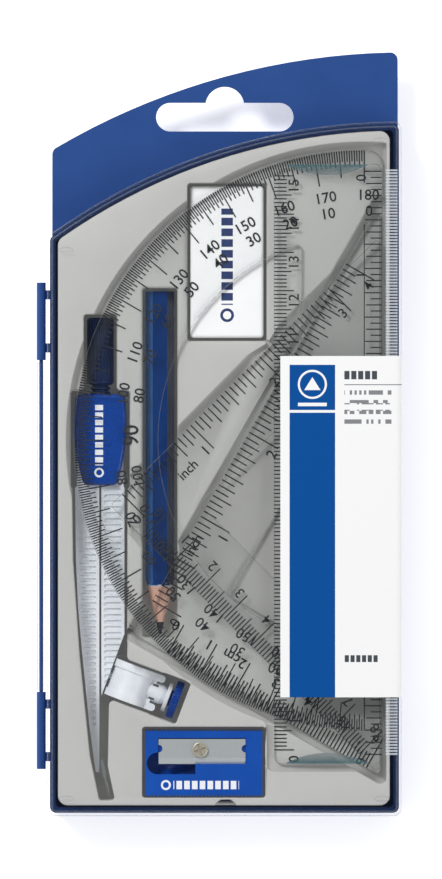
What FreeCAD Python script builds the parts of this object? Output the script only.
import FreeCAD, Part
import math
import os
from FreeCAD import Placement, Rotation, Vector

# A flat case of drawing instruments, lying on its back with its hinged lid up.
# X runs from the hinge to the free side, Y towards the hanging tab, Z up.
# The origin is the middle of the underside's bounding box.

doc = FreeCAD.newDocument("InstrumentCase")
sheet = doc.addObject("Spreadsheet::Sheet", "Sizes")

SIZES = {
    # the lid and the base share one outline: three straight sides and an arched top
    "case_left": -44.9, "case_right": 47.7, "case_bottom": -99.9,
    "arch_x": 47.4, "arch_y": -75.0, "arch_radius": 156.6,
    "split_height": 11.0, "lid_top": 21.9, "lid_wall": 1.1, "lid_plate": 1.2,
    "lid_corner": 2.2, "lid_edge": 1.6, "lid_gap": 0.05,
    "base_inset": 0.6, "base_wall": 1.4, "base_floor": 1.3, "base_edge": 1.2,
    "peg_length": 4.2, "peg_width": 1.5, "label_skin": 0.1,
    "label_left": 16.0, "label_low": -68.8, "label_high": 20.3, "label_foot": 14.5,
    "tongue_width": 16.0, "tongue_depth": 2.0, "tongue_thick": 0.6,
    # the hanging tab, an arched plate at half height
    "tab_left": -43.7, "tab_right": 46.8, "tab_low": 40.0, "tab_thick": 1.8,
    "tab_arch_x": 49.3, "tab_arch_y": -81.6, "tab_arch_radius": 181.56, "tab_corner": 2.0,
    "slot_left": -16.5, "slot_right": 19.5, "slot_low": 79.2, "slot_high": 86.7,
    "slot_bump_x": 1.5, "slot_bump_y": 85.8, "slot_bump_radius": 5.1,
    # the hinge down the left side
    "hinge_x": -46.6, "barrel_radius": 1.2, "hinge_pin_radius": 0.5, "hinge_clearance": 0.06,
    "upper_barrel_low": 19.3, "upper_barrel_high": 39.6, "hinge_pin_inset": 1.0,
    "lower_barrel_low": -87.8, "lower_barrel_high": -67.6, "barrel_gap": 0.5,
    "web_thick": 1.1, "web_length": 2.4,
    # the tray and its terraces
    "tray_left": -42.1, "tray_right": 44.6, "tray_bottom": -97.1, "tray_inset": 2.4,
    "tray_top": 19.3, "tray_skin": 0.6, "tray_corner": 2.6, "rest_gap": 0.1,
    "pocket_right": 43.7, "flat_margin": 1.9, "deep_margin": 0.8, "pocket_round": 1.2,
    "notch_x": 1.7, "notch_radius": 3.1, "notch_depth": 2.3,
    # flat instruments, from the top of the stack down
    "ruler_left": 14.3, "ruler_low": -86.3, "ruler_width": 28.4, "ruler_length": 156.8,
    "ruler_thick": 2.0, "ruler_edge": 1.1, "ruler_corner": 2.2, "ruler_base": 18.35,
    "plate_thick": 1.5, "plate_soften": 0.3, "plate_corner": 0.9, "straight_edge": 42.6,
    "protractor_x": 37.97, "protractor_y": -1.67, "protractor_radius": 76.0,
    "protractor_window": 53.9, "protractor_chord": 21.4, "protractor_base": 16.75,
    "protractor_corner": 4.0, "square_edge": 42.1,
    "square45_x": -28.4, "square45_y": -18.7, "square45_band": 16.7, "square45_base": 15.15,
    "square60_x": -22.5, "square60_y": -52.4, "square60_low": -89.5, "square60_base": 13.55,
    "square60_long_band": 16.8, "square60_short_band": 21.2, "square_rib": 16.0,
    # the eraser, the pencil and the sharpener
    "eraser_left": -7.5, "eraser_low": 25.1, "eraser_width": 19.1, "eraser_length": 39.6,
    "eraser_thick": 11.5, "eraser_base": 5.1, "eraser_round": 0.9,
    "pencil_x": -15.5, "pencil_end": 37.3, "pencil_tip": -52.4, "pencil_flats": 6.5,
    "pencil_centre": 10.15, "pencil_cone": 13.5, "lead_radius": 1.0, "lead_flat": 0.3,
    "sharpener_left": -19.3, "sharpener_low": -94.8, "sharpener_length": 30.6,
    "sharpener_width": 17.4, "sharpener_thick": 11.0, "sharpener_base": 7.6,
    "serration_pitch": 0.93, "serration_depth": 0.45, "mouth_radius": 4.1, "mouth_y": -86.5,
    "cone_length": 23.0, "cone_end": 0.8, "window_right": -6.2, "window_high": -83.3,
    "window_low": -89.0, "blade_left": -15.8, "blade_low": -86.3, "blade_length": 22.7,
    "blade_width": 6.5, "blade_thick": 0.7, "blade_notch": 1.0, "screw_x": -5.0,
    "screw_y": -82.6, "screw_radius": 2.05, "screw_shank": 1.0, "screw_depth": 4.0,
    # the compass, lying along Y
    "compass_x": -31.1, "compass_z": 9.7, "head_high": 10.4, "head_low": -13.5,
    "head_width": 13.8, "head_thick": 9.8, "head_bow": 52.0, "head_wall": 1.6,
    "head_round": 1.0, "head_split": 0.05, "pivot_spread": 3.1, "pivot_y": 2.0,
    "pivot_radius": 1.1, "hub_radius": 3.0, "leg_thick": 5.4, "leg_gap": 0.55,
    "grip_radius": 3.5, "grip_high": 30.4, "grip_low": 12.8, "neck_radius": 2.6,
    "stem_radius": 1.9, "stem_low": 6.6, "grip_grooves": 20, "grip_groove": 0.36,
    "needle_length": 9.0, "needle_radius": 0.5, "needle_sleeve": 1.05,
    "rib_pitch": 1.57, "rib_slot": 1.0, "rib_depth": 0.45, "rib_border": 0.75,
    # the pencil clamp at the foot of the short leg, turned about its own left end
    "clamp_x": -28.7, "clamp_y": -63.3, "clamp_angle": -20.5, "ring_centre": 5.9,
    "ring_radius": 5.45, "ring_bore": 4.6, "ring_half": 4.9, "rim_thick": 1.9, "rim_lip": 0.5,
    "boss_end": 15.6, "boss_radius": 2.6, "collar_radius": 3.95, "collar_thick": 1.0,
    "knob_start": 17.3, "knob_thick": 2.0, "knob_radius": 5.05, "knob_teeth": 36,
    "spindle_radius": 1.2, "spindle_clearance": 0.06, "pad_size": 4.0, "pad_thick": 1.2,
    "pad_start": 10.35, "knob_travel": 1.4,
}

for row, (alias, value) in enumerate(SIZES.items(), start=1):
    sheet.set(f"A{row}", alias.replace("_", " "))
    sheet.set(f"B{row}", str(value))
    sheet.setAlias(f"B{row}", alias)
doc.recompute()


def size(name):
    """A plain number from the sheet."""
    return float(sheet.get(name))


def linked(formula):
    """Turn 'lid_top - lid_plate' into a formula that reads the sheet."""
    words = formula.replace("(", "( ").replace(")", " )").split()
    return " ".join("Sizes." + word if word[0].isalpha() else word for word in words)


def bind(item, links):
    for key, formula in links.items():
        item.setExpression(key, linked(formula))


def place(item, x="0", y="0", z="0"):
    bind(item, {"Placement.Base.x": x, "Placement.Base.y": y, "Placement.Base.z": z})
    return item


def block(name, left, low, base, length, width, thick):
    """A box from its lowest corner and its three sides."""
    item = doc.addObject("Part::Box", name)
    bind(item, {"Length": length, "Width": width, "Height": thick})
    return place(item, left, low, base)


def rod(name, radius, length, x, y, z, axis=Vector(0, 0, 1)):
    """A cylinder that starts at a point and runs along an axis."""
    item = doc.addObject("Part::Cylinder", name)
    item.Placement = Placement(Vector(), Rotation(Vector(0, 0, 1), axis))
    bind(item, {"Radius": radius, "Height": length})
    return place(item, x, y, z)


def fuse(name, *items):
    joined = doc.addObject("Part::MultiFuse", name)
    joined.Shapes = list(items)
    joined.Refine = True
    return joined


def common(name, *items):
    shared = doc.addObject("Part::MultiCommon", name)
    shared.Shapes = list(items)
    return shared


def cut(name, body, *tools):
    rest = doc.addObject("Part::Cut", name)
    rest.Base = body
    rest.Tool = tools[0] if len(tools) == 1 else fuse(name + "_tools", *tools)
    return rest


def rounded(name, item, radius, chosen):
    """Round the edges of an item for which chosen(edge) is true."""
    doc.recompute()
    smooth = doc.addObject("Part::Fillet", name)
    smooth.Base = item
    numbers = [n for n, edge in enumerate(item.Shape.Edges, start=1) if chosen(edge)]
    smooth.Edges = [(n, size(radius), size(radius)) for n in numbers]
    return smooth


def feature(name, shape):
    """A sub-part whose shape is worked out below from the sheet's sizes."""
    item = doc.addObject("Part::Feature", name)
    item.Shape = shape
    return item


def upright(edge):
    box = edge.BoundBox
    return box.ZLength > 0.5 and box.XLength < 1e-4 and box.YLength < 1e-4


def lying(edge):
    """An edge that stays level, or nearly so: a rim of a flat plate."""
    return edge.BoundBox.ZLength < 1.0


def level(height):
    return lambda edge: edge.BoundBox.ZLength < 1e-4 and abs(edge.BoundBox.ZMin - height) < 1e-4


PARTS = []


def part(item, label):
    """Name a finished sub-part: its label is its file's name."""
    item.Label = label
    PARTS.append(item)
    return item


# ---------------------------------------------------------------- the case

def case_solid(name, inset, base, top):
    """The arched outline drawn in by an inset, between two heights."""
    height = f"( {top} ) - ( {base} )"
    body = block(name + "_sides", f"case_left + {inset}", f"case_bottom + {inset}", base,
                 f"case_right - case_left - {inset} * 2", "arch_radius + 30", height)
    arch = rod(name + "_arch", f"arch_radius - {inset}", height, "arch_x", "arch_y", base)
    return common(name, body, arch)


def lid_solid(name, grow, corner, edge):
    """The lid's full outer block, rounded, grown by a skin."""
    outer = case_solid(name, f"( 0 - {grow} )", "split_height + lid_gap", f"( lid_top + {grow} )")
    sides = rounded(name + "_corners", outer, corner, upright)
    top = size("lid_top") + (size("label_skin") if grow != "0" else 0)
    return rounded(name + "_edge", sides, edge, level(top))


def hinge_barrel(name, low, high):
    return rod(name, "barrel_radius", f"{high} - {low}", "hinge_x", low, "split_height",
               Vector(0, 1, 0))


def hinge_bore(name):
    return rod(name, "hinge_pin_radius + hinge_clearance",
               "upper_barrel_high - lower_barrel_low + 10", "hinge_x", "lower_barrel_low - 5",
               "split_height", Vector(0, 1, 0))


def lid_shell():
    outer = lid_solid("lid_outer", "0", "lid_corner", "lid_edge")
    inner = case_solid("lid_inner", "lid_wall", "split_height - 1", "( lid_top - lid_plate )")
    hollow = rounded("lid_hollow", inner, "lid_wall", upright)
    hollow = rounded("lid_hollow_edge", hollow, "base_edge",
                     level(size("lid_top") - size("lid_plate")))
    shell = cut("lid_walls", outer, hollow)
    low = "lower_barrel_high + barrel_gap"
    high = "upper_barrel_low - barrel_gap"
    barrel = hinge_barrel("lid_barrel", f"( {low} )", f"( {high} )")
    web = block("lid_web", "hinge_x", low, "split_height + lid_gap",
                "case_left - hinge_x + lid_wall / 2", f"( {high} ) - ( {low} )", "web_thick")
    inside = "case_right - base_inset - base_wall - tongue_thick - 0.1"
    tongue = block("lid_tongue", inside, "tongue_width * ( -0.5 )",
                   "split_height - tongue_depth", "tongue_thick", "tongue_width",
                   "tongue_depth + 3")
    bridge = block("lid_tongue_bridge", inside, "tongue_width * ( -0.5 )",
                   "split_height + lid_gap", "base_inset + base_wall + tongue_thick - 0.4",
                   "tongue_width", "3 - lid_gap")
    pegs = []
    for n, (x, y) in enumerate(((-40.0, -95.3), (42.6, -95.3), (-40.0, 48.0), (42.3, 76.6))):
        peg = doc.addObject("Part::Ellipsoid", f"lid_peg_{n}")
        bind(peg, {"Radius2": "peg_length / 2", "Radius3": "peg_width / 2", "Radius1": "peg_width / 2"})
        pegs.append(place(peg, str(x), str(y), "lid_top - lid_plate"))
    joined = fuse("lid_joined", shell, barrel, web, tongue, bridge, *pegs)
    return cut("lid_shell", joined, hinge_bore("lid_bore"))


def label_sticker():
    """A thin printed label on the lid, folded down over the free side."""
    skin = lid_solid("label_outer", "label_skin", "lid_corner", "lid_edge")
    inner = lid_solid("label_inner", "0", "lid_corner", "lid_edge")
    sheet_ring = cut("label_skin_ring", skin, inner)
    area = block("label_area", "label_left", "label_low", "label_foot", "case_right",
                 "label_high - label_low", "20")
    return common("label", sheet_ring, area)


def tab_plate():
    base = "split_height - tab_thick"
    plate = block("tab_sides", "tab_left", "tab_low", base, "tab_right - tab_left", "80",
                  "tab_thick")
    arch = rod("tab_arch", "tab_arch_radius", "tab_thick", "tab_arch_x", "tab_arch_y", base)
    outline = rounded("tab_outline", common("tab_plate", plate, arch), "tab_corner",
                      lambda edge: upright(edge) and edge.BoundBox.YMin > size("tab_low") + 1)
    half = "( slot_high - slot_low ) / 2"
    middle = block("slot_middle", f"slot_left + {half}", "slot_low", base + " - 1",
                   f"slot_right - slot_left - {half} * 2", "slot_high - slot_low", "tab_thick + 2")
    ends = [rod(f"slot_end_{n}", half, "tab_thick + 2", x, f"slot_low + {half}", base + " - 1")
            for n, x in enumerate((f"slot_left + {half}", f"slot_right - {half}"))]
    bump = rod("slot_bump", "slot_bump_radius", "tab_thick + 2", "slot_bump_x", "slot_bump_y",
               base + " - 1")
    keep = block("slot_keep", "slot_bump_x - 10", "slot_low", base + " - 1", "20", "20",
                 "tab_thick + 2")
    upper = common("slot_upper", bump, keep)
    return cut("tab", outline, middle, *ends, upper)


def base_shell():
    outer = case_solid("base_outer", "base_inset", "0", "split_height")
    sides = rounded("base_corners", outer, "lid_edge", upright)
    block_outer = rounded("base_edge_round", sides, "base_edge", level(0))
    inset = "( base_inset + base_wall )"
    hollow = rounded("base_hollow", case_solid("base_inner", inset, "base_floor",
                     "( split_height + 1 )"), "base_edge", upright)
    tab = tab_plate()
    webs = []
    barrels = []
    for n, (low, high) in enumerate((("upper_barrel_low", "upper_barrel_high"),
                                     ("lower_barrel_low", "lower_barrel_high"))):
        barrels.append(hinge_barrel(f"base_barrel_{n}", low, high))
        for m, start in enumerate((f"{low} + 2", f"{high} - 2 - web_length")):
            webs.append(block(f"base_web_{n}_{m}", "hinge_x", start, "split_height - web_thick",
                              "case_left + base_inset + base_wall / 2 - hinge_x",
                              "web_length", "web_thick"))
    joined = fuse("base_joined", block_outer, tab, *barrels, *webs)
    return cut("base_shell", joined, hollow, hinge_bore("base_bore"))


def hinge_pin():
    return rod("hinge_pin", "hinge_pin_radius",
               "upper_barrel_high - lower_barrel_low - hinge_pin_inset * 2",
               "hinge_x", "lower_barrel_low + hinge_pin_inset", "split_height", Vector(0, 1, 0))


part(base_shell(), "base_shell")
part(lid_shell(), "lid_shell")
part(label_sticker(), "label")
part(hinge_pin(), "hinge_pin")


# ---------------------------------------------------------------- flat instruments

def ruler():
    """A strip with a bowed upper face, thinner along both marked edges."""
    bow = size("ruler_thick") - size("ruler_edge")
    half = size("ruler_width") / 2
    radius = (half * half + bow * bow) / (2 * bow)
    strip = block("ruler_strip", "ruler_left", "ruler_low", "ruler_base", "ruler_width",
                  "ruler_length", "ruler_thick")
    strip = rounded("ruler_corners", strip, "ruler_corner", upright)
    dome = doc.addObject("Part::Cylinder", "ruler_dome")
    dome.Placement = Placement(Vector(), Rotation(Vector(0, 0, 1), Vector(0, 1, 0)))
    dome.Radius = radius
    bind(dome, {"Height": "ruler_length"})
    place(dome, "ruler_left + ruler_width / 2", "ruler_low",
          f"ruler_base + ruler_thick - {radius:.4f}")
    return rounded("ruler", common("ruler_blank", strip, dome), "plate_soften", lying)


def protractor():
    thick = "plate_thick"
    disc = rod("protractor_disc", "protractor_radius", thick, "protractor_x", "protractor_y",
               "protractor_base")
    half = block("protractor_half", "protractor_x - protractor_radius - 1",
                 "protractor_y - protractor_radius - 1", "protractor_base",
                 "straight_edge - protractor_x + protractor_radius + 1",
                 "protractor_radius * 2 + 2", thick)
    plate = rounded("protractor_plate", common("protractor_full", disc, half),
                    "protractor_corner", upright)
    hole = rod("protractor_hole", "protractor_window", thick, "protractor_x", "protractor_y",
               "protractor_base")
    side = block("protractor_side", "protractor_x - protractor_radius", "protractor_y - 60",
                 "protractor_base", "protractor_chord - protractor_x + protractor_radius",
                 "120", thick)
    window = rounded("protractor_window", common("protractor_gap", hole, side),
                     "plate_corner", upright)
    return rounded("protractor", cut("protractor_blank", plate, window), "plate_soften", lying)


def offset_corners(corners, bands):
    """Draw each side of a polygon inwards by its own band; sides run anticlockwise."""
    count = len(corners)
    lines = []
    for n, start in enumerate(corners):
        side = corners[(n + 1) % count] - start
        normal = Vector(-side.y, side.x, 0).normalize()
        lines.append((start + normal * bands[n], side))
    inner = []
    for n in range(count):
        (a, u), (b, v) = lines[n - 1], lines[n]
        across = u.x * v.y - u.y * v.x
        step = ((b.x - a.x) * v.y - (b.y - a.y) * v.x) / across
        inner.append(a + u * step)
    return inner


def polygon_face(corners):
    return Part.Face(Part.makePolygon(corners + corners[:1]))


def softened(solid, radius):
    return solid.makeFillet(radius, [edge for edge in solid.Edges if upright(edge)])


def triangle_corners(kind):
    """Right angle first, then anticlockwise: the lower and the upper sharp corner."""
    edge = size("square_edge")
    right = Vector(size(f"square{kind}_x"), size(f"square{kind}_y"), 0)
    if kind == 45:
        reach = edge - right.x
        return [right, Vector(edge, right.y - reach, 0), Vector(edge, right.y + reach, 0)]
    low = Vector(edge, size("square60_low"), 0)
    rise = (edge - right.x) ** 2 / (right.y - low.y)
    return [right, low, Vector(edge, right.y + rise, 0)]


def set_square(kind):
    corners = triangle_corners(kind)
    if kind == 45:
        bands = [size("square45_band"), size("square_rib"), size("square45_band")]
    else:
        bands = [size("square60_short_band"), size("square_rib"), size("square60_long_band")]
    lift = Vector(0, 0, size(f"square{kind}_base"))
    thick = Vector(0, 0, size("plate_thick"))
    plate = softened(polygon_face([c + lift for c in corners]).extrude(thick),
                     size("plate_corner"))
    window = softened(polygon_face([c + lift for c in offset_corners(corners, bands)])
                      .extrude(thick), size("plate_corner"))
    solid = plate.cut(window)
    return feature(f"set_square_{kind}", solid.makeFillet(
        size("plate_soften"), [edge for edge in solid.Edges if lying(edge)]))


part(ruler(), "ruler")
part(protractor(), "protractor")
part(set_square(45), "set_square_45")
part(set_square(60), "set_square_60")


# ---------------------------------------------------------------- eraser and pencil

def eraser():
    brick = block("eraser_brick", "eraser_left", "eraser_low", "eraser_base", "eraser_width",
                  "eraser_length", "eraser_thick")
    return rounded("eraser", brick, "eraser_round", lambda edge: True)


def pencil_wood():
    """A hexagonal stick, flat side up, with a sharpened cone and a bore for the lead."""
    stick = doc.addObject("Part::Prism", "pencil_stick")
    stick.Polygon = 6
    stick.Placement = Placement(Vector(), Rotation(Vector(0, 0, 1), Vector(0, -1, 0)))
    bind(stick, {"Circumradius": "pencil_flats / 1.7320508",
                 "Height": "pencil_end - pencil_tip"})
    place(stick, "pencil_x", "pencil_end", "pencil_centre")
    point = pencil_point("pencil_cone_cut")
    bore = rod("pencil_bore", "lead_radius", "pencil_end - pencil_tip + 2", "pencil_x",
               "pencil_tip - 1", "pencil_centre", Vector(0, 1, 0))
    return cut("pencil_barrel", common("pencil_shaped", stick, point), bore)


def pencil_point(name):
    """One long cone that trims both the wood and the lead to a point."""
    slope = size("pencil_flats") / 2 / size("pencil_cone")
    length = size("pencil_end") - size("pencil_tip")
    cone = doc.addObject("Part::Cone", name)
    cone.Placement = Placement(Vector(), Rotation(Vector(0, 0, 1), Vector(0, 1, 0)))
    bind(cone, {"Radius1": "lead_flat", "Height": "pencil_end - pencil_tip"})
    cone.Radius2 = size("lead_flat") + slope * length
    return place(cone, "pencil_x", "pencil_tip", "pencil_centre")


def pencil_lead():
    core = rod("lead_core", "lead_radius", "pencil_end - pencil_tip", "pencil_x", "pencil_tip",
               "pencil_centre", Vector(0, 1, 0))
    return common("pencil_lead", core, pencil_point("lead_cone_cut"))


part(eraser(), "eraser")
part(pencil_wood(), "pencil_barrel")
part(pencil_lead(), "pencil_lead")


# ---------------------------------------------------------------- sharpener

def zigzag(start, finish, y, depth, pitch):
    """Points of a saw-tooth line along X between two ends."""
    count = int(abs(finish - start) / pitch)
    step = (finish - start) / count
    points = []
    for n in range(count):
        points.append(Vector(start + step * n, y, 0))
        points.append(Vector(start + step * (n + 0.5), y + depth, 0))
    points.append(Vector(finish, y, 0))
    return points


def sharpener_body():
    left, low = size("sharpener_left"), size("sharpener_low")
    right, high = left + size("sharpener_length"), low + size("sharpener_width")
    base, thick = size("sharpener_base"), size("sharpener_thick")
    depth, pitch = size("serration_depth"), size("serration_pitch")
    outline = zigzag(left, right, low, depth, pitch) + zigzag(right, left, high, -depth, pitch)
    solid = polygon_face([p + Vector(0, 0, base) for p in outline]).extrude(Vector(0, 0, thick))
    top = base + thick
    mouth = Vector(left, size("mouth_y"), top - size("blade_thick") - size("mouth_radius"))
    slope = (size("mouth_radius") - size("cone_end")) / size("cone_length")
    bore_axis = Vector(1, 0, slope).normalize()
    cone = Part.makeCone(size("mouth_radius"), size("cone_end"), size("cone_length"),
                         mouth - bore_axis, bore_axis)
    seat = Part.makeBox(size("blade_length") + 0.3, size("blade_width") + 0.3, 5,
                        Vector(size("blade_left") - 0.15, size("blade_low"),
                               top - size("blade_thick")))
    window_low, window_high = size("window_low"), size("window_high")
    radius = (window_high - window_low) / 2
    window_left = left + 0.4 + radius
    window = Part.makeBox(size("window_right") - window_left, window_high - window_low, thick,
                          Vector(window_left, window_low, mouth.z))
    window = window.fuse(Part.makeCylinder(radius, thick,
                                           Vector(window_left, window_low + radius, mouth.z)))
    hole = Part.makeCylinder(size("screw_shank"), size("screw_depth"),
                             Vector(size("screw_x"), size("screw_y"),
                                    top - size("blade_thick") - size("screw_depth")))
    return feature("sharpener_body", solid.cut([cone, seat, window, hole]))


def sharpener_blade():
    """A flat cutter with a ground edge and a half-round notch in each end."""
    left, low = size("blade_left"), size("blade_low")
    length, width, thick = size("blade_length"), size("blade_width"), size("blade_thick")
    base = size("sharpener_base") + size("sharpener_thick") - thick
    profile = [Vector(left, low, base), Vector(left, low + 1.6, base + thick),
               Vector(left, low + width, base + thick), Vector(left, low + width, base)]
    plate = polygon_face(profile).extrude(Vector(length, 0, 0))
    notches = [Part.makeCylinder(size("blade_notch"), thick, Vector(x, low + 4.0, base))
               for x in (left, left + length)]
    hole = Part.makeCylinder(size("screw_shank") + 0.3, thick,
                             Vector(size("screw_x"), size("screw_y"), base))
    return feature("sharpener_blade", plate.cut(notches + [hole]))


def blade_screw():
    """A slotted countersunk screw that clamps the blade."""
    top = size("sharpener_base") + size("sharpener_thick")
    centre = Vector(size("screw_x"), size("screw_y"), 0)
    depth = size("screw_depth") - 0.4
    shank = Part.makeCylinder(size("screw_shank"), depth + size("blade_thick"),
                              centre + Vector(0, 0, top - size("blade_thick") - depth))
    radius = size("screw_radius")
    head = Part.makeCylinder(radius, 0.8, centre + Vector(0, 0, top))
    head = head.makeFillet(0.3, [e for e in head.Edges
                                 if e.BoundBox.ZLength < 1e-4 and e.BoundBox.ZMin > top + 0.5])
    slots = []
    for turn in (20, 110):
        slot = Part.makeBox(radius * 1.5, 0.45, 0.5, Vector(-radius * 0.75, -0.225, top + 0.45))
        slot.rotate(Vector(), Vector(0, 0, 1), turn)
        slot.translate(centre)
        slots.append(slot)
    return feature("blade_screw", head.fuse(shank).cut(slots))


part(sharpener_body(), "sharpener_body")
part(sharpener_blade(), "sharpener_blade")
part(blade_screw(), "blade_screw")


# ---------------------------------------------------------------- compass

def head_solid(name, base, top):
    """A barrel-shaped block: two bowed sides and flat ends, between two heights."""
    width = size("head_width")
    radius = size("head_bow")
    middle = Part.makeBox(width, size("head_high") - size("head_low"), top - base,
                          Vector(size("compass_x") - width / 2, size("head_low"), base))
    shape = middle
    bow_y = 0.4 * size("head_high") + 0.1 * size("head_low")
    for side in (-1, 1):
        centre = Vector(size("compass_x") + side * (width / 2 - radius), bow_y, base)
        shape = shape.common(Part.makeCylinder(radius, top - base, centre))
    shape = shape.makeFillet(1.6, [edge for edge in shape.Edges if upright(edge)])
    return shape


def head_cavity():
    """Room for both hubs, open towards the legs."""
    half = size("leg_thick") / 2 + 0.15
    wall = size("head_wall")
    width = size("head_width") - 2 * wall + 1.9
    length = size("head_high") - size("head_low") - wall - 3.4
    corner = Vector(size("compass_x") - width / 2, size("head_low") - 1,
                    size("compass_z") - half)
    return Part.makeBox(width, length + 1, 2 * half, corner)


def pivot_centres():
    return [Vector(size("compass_x") + side * size("pivot_spread"), size("pivot_y"), 0)
            for side in (-1, 1)]


def head_half(name, side):
    """One moulded half of the head; side is 1 above the split and -1 below it."""
    middle, half = size("compass_z"), size("head_thick") / 2
    base, top = middle - half, middle + half
    shape = head_solid(name, base, top)
    face = top if side > 0 else base
    shape = shape.makeFillet(size("head_round"), [edge for edge in shape.Edges
                                                  if level(face)(edge)])
    gap = size("head_split")
    low = middle + gap if side > 0 else base - 1
    keep = Part.makeBox(40, 60, half + 1 - gap, Vector(size("compass_x") - 20, -30, low))
    shape = shape.common(keep).cut(head_cavity())
    pins = [Part.makeCylinder(size("pivot_radius"), size("head_thick") - 2.4,
                              centre + Vector(0, 0, base + 1.2)) for centre in pivot_centres()]
    stem = Part.makeCylinder(size("stem_radius"), 40,
                             Vector(size("compass_x"), size("stem_low"), middle),
                             Vector(0, 1, 0))
    return feature(name, shape.cut(pins + [stem]))


def pivot_pins():
    base = size("compass_z") - size("head_thick") / 2
    pins = [Part.makeCylinder(size("pivot_radius"), size("head_thick") - 2.4,
                              centre + Vector(0, 0, base + 1.2)) for centre in pivot_centres()]
    return feature("pivot_pins", Part.makeCompound(pins))


def grip():
    """A fluted grip with two grooves in its neck and a stem that the head holds."""
    x, z = size("compass_x"), size("compass_z")
    low, high = size("grip_low"), size("grip_high")
    radius, neck = size("grip_radius"), size("neck_radius")
    head = size("head_high")
    profile = [(0, size("stem_low")), (size("stem_radius"), size("stem_low")),
               (size("stem_radius"), head), (neck, head), (neck, head + 0.5),
               (neck - 0.45, head + 0.7), (neck - 0.45, head + 1.1), (neck, head + 1.3),
               (neck, head + 1.7), (neck - 0.45, head + 1.9), (neck - 0.45, low),
               (radius - 0.6, low), (radius, low + 0.6), (radius, high - 0.5),
               (radius - 0.5, high), (0, high)]
    points = [Vector(x + r, y, z) for r, y in profile]
    solid = polygon_face(points).revolve(Vector(x, 0, z), Vector(0, 1, 0), 360)
    grooves = []
    count = int(size("grip_grooves"))
    for n in range(count):
        turn = 2 * math.pi * n / count
        centre = Vector(x + radius * math.cos(turn), low + 0.9, z + radius * math.sin(turn))
        grooves.append(Part.makeCylinder(size("grip_groove"), high - low - 1.6, centre,
                                         Vector(0, 1, 0)))
    return feature("grip_handle", solid.cut(grooves))


def leg_outline(points):
    return polygon_face([Vector(x, y, 0) for x, y in points])


def leg_slots(inner, outer, high, low, face, into):
    """Round-ended slots across a leg, leaving ribs between them."""
    pitch, slot = size("rib_pitch"), size("rib_slot")
    border, depth = size("rib_border"), size("rib_depth")
    radius = slot / 2
    slots = []
    for n in range(int((high - low) / pitch)):
        y = high - pitch * (n + 0.5)
        ends = sorted((inner(y), outer(y)))
        left, right = ends[0] + border + radius, ends[1] - border - radius
        if right - left < 0.1:
            continue
        base = face - depth if into > 0 else face
        slots.append(Part.makeBox(right - left, slot, depth, Vector(left, y - radius, base)))
        slots.append(Part.makeCylinder(radius, depth, Vector(left, y, base)))
        slots.append(Part.makeCylinder(radius, depth, Vector(right, y, base)))
    return slots


def along(points):
    """A function that gives X at any Y along a line of points that runs downwards."""
    def at(y):
        for (x0, y0), (x1, y1) in zip(points, points[1:]):
            if y1 <= y <= y0:
                return x0 + (x1 - x0) * (y0 - y) / (y0 - y1)
        return points[-1][0]
    return at


def compass_leg(name, side, outer_points, foot, low):
    """A ribbed leg with its hub; side is -1 for the needle leg and 1 for the short leg."""
    middle, thick = size("compass_z"), size("leg_thick")
    base = middle - thick / 2
    inner_x = size("compass_x") + side * size("leg_gap") / 2
    hub = pivot_centres()[0 if side < 0 else 1]
    shape = leg_outline([(inner_x, hub.y)] + outer_points + foot + [(inner_x, low)])
    solid = shape.extrude(Vector(0, 0, thick))
    solid.translate(Vector(0, 0, base))
    solid = solid.fuse(Part.makeCylinder(size("hub_radius") - size("leg_gap") / 2 + 0.15, thick,
                                         hub + Vector(0, 0, base)))
    slots = []
    outer = along(outer_points + foot)
    start = size("head_low") - 0.5
    for face, into in ((base + thick, 1), (base, -1)):
        slots += leg_slots(lambda y: inner_x, outer, start, low, face, into)
    bore = Part.makeCylinder(size("pivot_radius") + 0.03, thick, hub + Vector(0, 0, base))
    return solid, slots + [bore]


def needle_axis():
    start = Vector(-31.25, -85.6, size("compass_z"))
    return start, Vector(0.27, -0.962, 0).normalize()


def needle_leg():
    x, hub = size("compass_x"), pivot_centres()[0]
    outer = [(hub.x - 2.75, hub.y), (x - 6.0, -8.0), (x - 6.1, -13.6), (x - 6.6, -14.2),
             (x - 6.4, -33.0), (x - 5.8, -46.0), (x - 4.9, -56.0), (x - 3.9, -66.0), (x - 2.9, -76.0),
             (x - 1.7, -85.0)]
    solid, tools = compass_leg("needle_leg", -1, outer, [(x - 1.2, -88.6)], -88.6)
    start, axis = needle_axis()
    bore = Part.makeCylinder(size("needle_sleeve"), 12, start, axis)
    return feature("needle_leg", solid.cut(tools + [bore]))


def needle_sleeve():
    start, axis = needle_axis()
    sleeve = Part.makeCylinder(size("needle_sleeve"), 3.6, start, axis)
    cone = Part.makeCone(size("needle_sleeve"), size("needle_radius") + 0.15, 1.2,
                         start + axis * 3.6, axis)
    bore = Part.makeCylinder(size("needle_radius"), 20, start, axis)
    return feature("needle_sleeve", sleeve.fuse(cone).cut(bore))


def needle():
    start, axis = needle_axis()
    length = size("needle_length")
    shank = Part.makeCylinder(size("needle_radius"), length - 2.2, start, axis)
    tip = Part.makeCone(size("needle_radius"), 0.08, 2.2, start + axis * (length - 2.2), axis)
    return feature("needle", shank.fuse(tip))


def clamp_place():
    """The clamp's own frame: X from the short leg to the knob, Y along the pencil bore."""
    base = Vector(size("clamp_x"), size("clamp_y"), size("compass_z"))
    return Placement(base, Rotation(Vector(0, 0, 1), size("clamp_angle")))


def in_clamp_frame(name, shape):
    shape.Placement = clamp_place().multiply(shape.Placement)
    return feature(name, shape)


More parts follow.
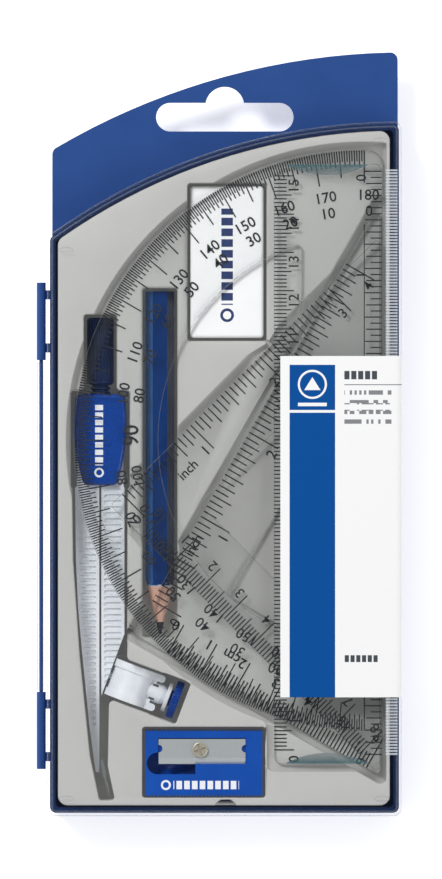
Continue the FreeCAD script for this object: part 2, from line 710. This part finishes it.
def short_leg():
    x, hub = size("compass_x"), pivot_centres()[1]
    outer = [(hub.x + 2.75, hub.y), (x + 6.0, -8.0), (x + 6.1, -13.6), (x + 6.3, -14.2),
             (x + 6.3, -57.8)]
    solid, tools = compass_leg("short_leg", 1, outer, [], -69.5)
    room = Part.makeBox(30, 24, 20, Vector(-0.15, -12, -10))
    room.Placement = clamp_place().multiply(room.Placement)
    socket = along_x(1.2, 8, -1.7)
    socket.Placement = clamp_place().multiply(socket.Placement)
    return feature("short_leg", solid.cut(tools + [room, socket]))


def along_x(radius, length, start):
    return Part.makeCylinder(radius, length, Vector(start, 0, 0), Vector(1, 0, 0))


def clamp_ring():
    """A short flanged tube across the clamp, with a boss and a collar for its screw."""
    centre, radius, half = size("ring_centre"), size("ring_radius"), size("ring_half")
    rim, lip, end = size("rim_thick"), size("rim_lip"), size("boss_end")

    def across(r, start, length):
        return Part.makeCylinder(r, length, Vector(centre, start, 0), Vector(0, 1, 0))

    solid = across(radius, -half, 2 * half)
    rails = []
    for start in (-half, half - rim):
        flange = across(radius + lip, start, rim)
        rail = Part.makeBox(end - centre - 1.5, rim, 2 * size("boss_radius"),
                            Vector(centre, start, -size("boss_radius")))
        rail = rail.makeFillet(rim * 0.45, [e for e in rail.Edges
                                            if e.BoundBox.ZLength > 1 and e.BoundBox.XMin > centre + 1])
        rails += [flange, rail]
    web = Part.makeBox(end - centre - 3.4, 2 * half - 1, 2 * size("boss_radius") - 1.2,
                       Vector(centre, -half + 0.5, -size("boss_radius") + 0.6))
    boss = along_x(size("boss_radius"), end - centre - 1, centre)
    nose = Part.makeSphere(size("boss_radius"),
                           Vector(end + size("collar_thick") - size("boss_radius"), 0, 0))
    collar = along_x(size("collar_radius"), size("collar_thick"), end)
    solid = solid.multiFuse(rails + [web, boss, nose, collar])
    bore = across(size("ring_bore"), -half - 1, 2 * half + 2)
    thread = along_x(size("spindle_radius") + size("spindle_clearance"), 20, centre)
    pad = size("pad_size") / 2 + 0.1
    recess_end = size("pad_start") + size("pad_thick") + size("knob_travel") + 0.15
    recess = Part.makeBox(recess_end - centre, 2 * pad, 2 * pad, Vector(centre, -pad, -pad))
    pin = along_x(1.2, 2.9, -1.7)
    for tool in (bore, recess, thread, pin):
        solid = solid.cut(tool)
    return in_clamp_frame("clamp_ring", solid)


def clamp_pin():
    """The stub that joins the clamp to the short leg."""
    return in_clamp_frame("clamp_pin", along_x(1.2, 2.9, -1.7))


def clamp_pad():
    side, thick = size("pad_size"), size("pad_thick")
    block_pad = Part.makeBox(thick, side, side, Vector(size("pad_start"), -side / 2, -side / 2))
    return in_clamp_frame("clamp_pad", block_pad)


def clamp_spindle():
    start = size("pad_start") + size("pad_thick")
    length = size("knob_start") + size("knob_thick") - 0.5 - start
    return in_clamp_frame("clamp_spindle", along_x(size("spindle_radius"), length, start))


def clamp_knob():
    """A flat knob with a knurled rim, moulded on the spindle."""
    start, thick, radius = size("knob_start"), size("knob_thick"), size("knob_radius")
    disc = along_x(radius, thick, start)
    disc = disc.makeFillet(0.25, [e for e in disc.Edges if e.BoundBox.XLength < 1e-4])
    hub = along_x(size("spindle_radius") + 1.0, 0.6, start - 0.5)
    teeth = []
    count = int(size("knob_teeth"))
    for n in range(count):
        tooth = Part.makeCylinder(0.22, thick, Vector(start, radius + 0.02, 0), Vector(1, 0, 0))
        tooth.rotate(Vector(), Vector(1, 0, 0), 360 * n / count)
        teeth.append(tooth)
    bore = along_x(size("spindle_radius"), thick - 0.5 + 0.6, start - 0.6)
    return in_clamp_frame("clamp_knob", disc.fuse(hub).cut(teeth + [bore]))


part(head_half("head_front", 1), "head_front")
part(head_half("head_back", -1), "head_back")
part(pivot_pins(), "pivot_pins")
part(grip(), "grip_handle")
part(needle_leg(), "needle_leg")
part(needle_sleeve(), "needle_sleeve")
part(needle(), "needle")
part(short_leg(), "short_leg")
part(clamp_ring(), "clamp_ring")
part(clamp_pin(), "clamp_pin")
part(clamp_pad(), "clamp_pad")
part(clamp_spindle(), "clamp_spindle")
part(clamp_knob(), "clamp_knob")


# ---------------------------------------------------------------- the tray

def rectangle(left, low, right, high):
    return polygon_face([Vector(left, low, 0), Vector(right, low, 0), Vector(right, high, 0),
                         Vector(left, high, 0)])


def disc_face(x, y, radius):
    circle = Part.makeCircle(radius, Vector(x, y, 0))
    return Part.Face(Part.Wire([circle]))


def grown(face, distance):
    return face.Faces[0].makeOffset2D(distance).Faces[0]


def arched_face(inset, left, low, right):
    sides = rectangle(left, low, right, 120)
    disc = disc_face(size("arch_x"), size("arch_y"), size("arch_radius") - inset)
    return sides.common(disc).Faces[0]


def flat_outlines():
    """The plan of each flat instrument, from the top of the stack down."""
    strip = rectangle(size("ruler_left"), size("ruler_low"),
                      size("ruler_left") + size("ruler_width"),
                      size("ruler_low") + size("ruler_length"))
    x, y, radius = size("protractor_x"), size("protractor_y"), size("protractor_radius")
    half = disc_face(x, y, radius).common(rectangle(x - 90, y - 90, size("straight_edge"), y + 90))
    return [strip, half, polygon_face(triangle_corners(45)), polygon_face(triangle_corners(60))]


def compass_outline():
    """The plan of the compass: grip, head, both legs and the clamp."""
    x = size("compass_x")
    half = size("head_width") / 2
    head = rectangle(x - half, size("head_low"), x + half, size("head_high"))
    grip_plan = rectangle(x - size("grip_radius"), size("head_high") - 1, x + size("grip_radius"),
                          size("grip_high"))
    legs = polygon_face([Vector(px, py, 0) for px, py in (
        (x - 6.6, -10.0), (x - 6.3, -33.0), (x - 4.6, -58.0), (x - 1.9, -84.0),
        (x + 0.4, -95.0), (x + 2.9, -95.0), (x + 1.2, -87.0), (x + 1.6, -66.0),
        (x + 6.3, -58.0), (x + 6.3, -10.0))])
    end = size("knob_start") + size("knob_thick") + 0.6
    ring = rectangle(-1.0, -size("ring_half"), size("boss_end") - 1.5, size("ring_half"))
    knob = rectangle(size("boss_end") - 2, -size("knob_radius"), end, size("knob_radius"))
    for plan in (ring, knob):
        plan.Placement = Placement(Vector(size("clamp_x"), size("clamp_y"), 0),
                                   Rotation(Vector(0, 0, 1), size("clamp_angle")))
    return [head, grip_plan, legs, ring, knob]


def merged(faces):
    joined = faces[0].multiFuse(faces[1:]) if len(faces) > 1 else faces[0]
    return joined.removeSplitter()


def deep_outlines():
    """The plans of each thick piece: compass, pencil, eraser, sharpener."""
    across = size("pencil_flats") / math.sqrt(3)
    stick = rectangle(size("pencil_x") - across, size("pencil_tip"), size("pencil_x") + across,
                      size("pencil_end"))
    rubber = rectangle(size("eraser_left"), size("eraser_low"),
                       size("eraser_left") + size("eraser_width"),
                       size("eraser_low") + size("eraser_length"))
    cutter = rectangle(size("sharpener_left"), size("sharpener_low") + 0.5,
                       size("sharpener_left") + size("sharpener_length"),
                       size("sharpener_low") + size("sharpener_width"))
    return [compass_outline(), [stick], [rubber], [cutter]]


def smooth_union(faces, margin):
    """Grow each plan by its margin, join them, and round the corners where they meet."""
    radius = size("pocket_round")
    limit = rectangle(-60, -120, size("pocket_right"), 120)
    whole = merged([grown(face, size(margin)) for face in faces])
    pieces = []
    for face in whole.Faces:
        closed = grown(grown(face, radius), -radius)
        pieces += closed.common(limit).Faces
    return pieces


def tray():
    """A formed sheet: terraced pockets from above, the same form one skin lower beneath."""
    flats, deeps = flat_outlines(), deep_outlines()
    gap, top, skin = size("rest_gap"), size("tray_top"), size("tray_skin")
    terraces = [(size(name) - gap) for name in
                ("ruler_base", "protractor_base", "square45_base", "square60_base")]
    floors = [size("compass_z") - size("ring_radius") - size("rim_lip") - gap,
              size("pencil_centre") - size("pencil_flats") / 2 - gap,
              size("eraser_base") - gap, size("sharpener_base") - gap]
    steps = []
    for n, floor in enumerate(terraces):
        ceiling = terraces[n - 1] if n else top + 1
        steps.append((smooth_union(flats[n:], "flat_margin"), floor, ceiling))
    for outline, floor in zip(deeps, floors):
        steps.append((smooth_union(outline, "deep_margin"), floor, top + 1))
    inset = size("tray_inset")
    plan = arched_face(inset, size("tray_left"), size("tray_bottom"), size("tray_right"))
    floor_level = size("base_floor")

    def prism(face, low, high):
        solid = face.extrude(Vector(0, 0, high - low))
        solid.translate(Vector(0, 0, low))
        return solid

    body = prism(plan, floor_level, top)
    body = softened(body, size("tray_corner"))
    core_plan = grown(plan, -skin)
    core = softened(prism(core_plan, floor_level - 1, top - skin), size("tray_corner") - skin)
    hollow = [prism(face, low, high) for faces, low, high in steps for face in faces]
    shell = [prism(grown(face, skin), low - skin, high)
             for faces, low, high in steps for face in faces]
    notch = Part.makeCylinder(size("notch_radius"), size("notch_depth") + 1,
                              Vector(size("notch_x"), size("tray_bottom") - 1.4,
                                     top - size("notch_depth")))
    return feature("insert_tray", body.cut(hollow).cut(core.cut(shell)).cut(notch))


part(tray(), "insert_tray")


# ---------------------------------------------------------------- checks and files

doc.recompute()
os.makedirs("parts", exist_ok=True)
for item in doc.Objects:
    if "Invalid" in item.State or "Error" in item.State:
        raise RuntimeError(f"{item.Name} did not build: {item.State}")
for item in PARTS:
    if item.Shape.isNull() or not item.Shape.isValid():
        raise RuntimeError(f"{item.Label} has no valid shape")
for item in PARTS:
    item.Shape.exportStep(f"parts/{item.Label}.step")
    box = item.Shape.optimalBoundingBox()
    print(f"{item.Label:16s} {len(item.Shape.Solids)} solid(s) {item.Shape.Volume:10.1f} mm3  "
          f"X {box.XMin:.2f}..{box.XMax:.2f}  Y {box.YMin:.2f}..{box.YMax:.2f}  "
          f"Z {box.ZMin:.2f}..{box.ZMax:.2f}")
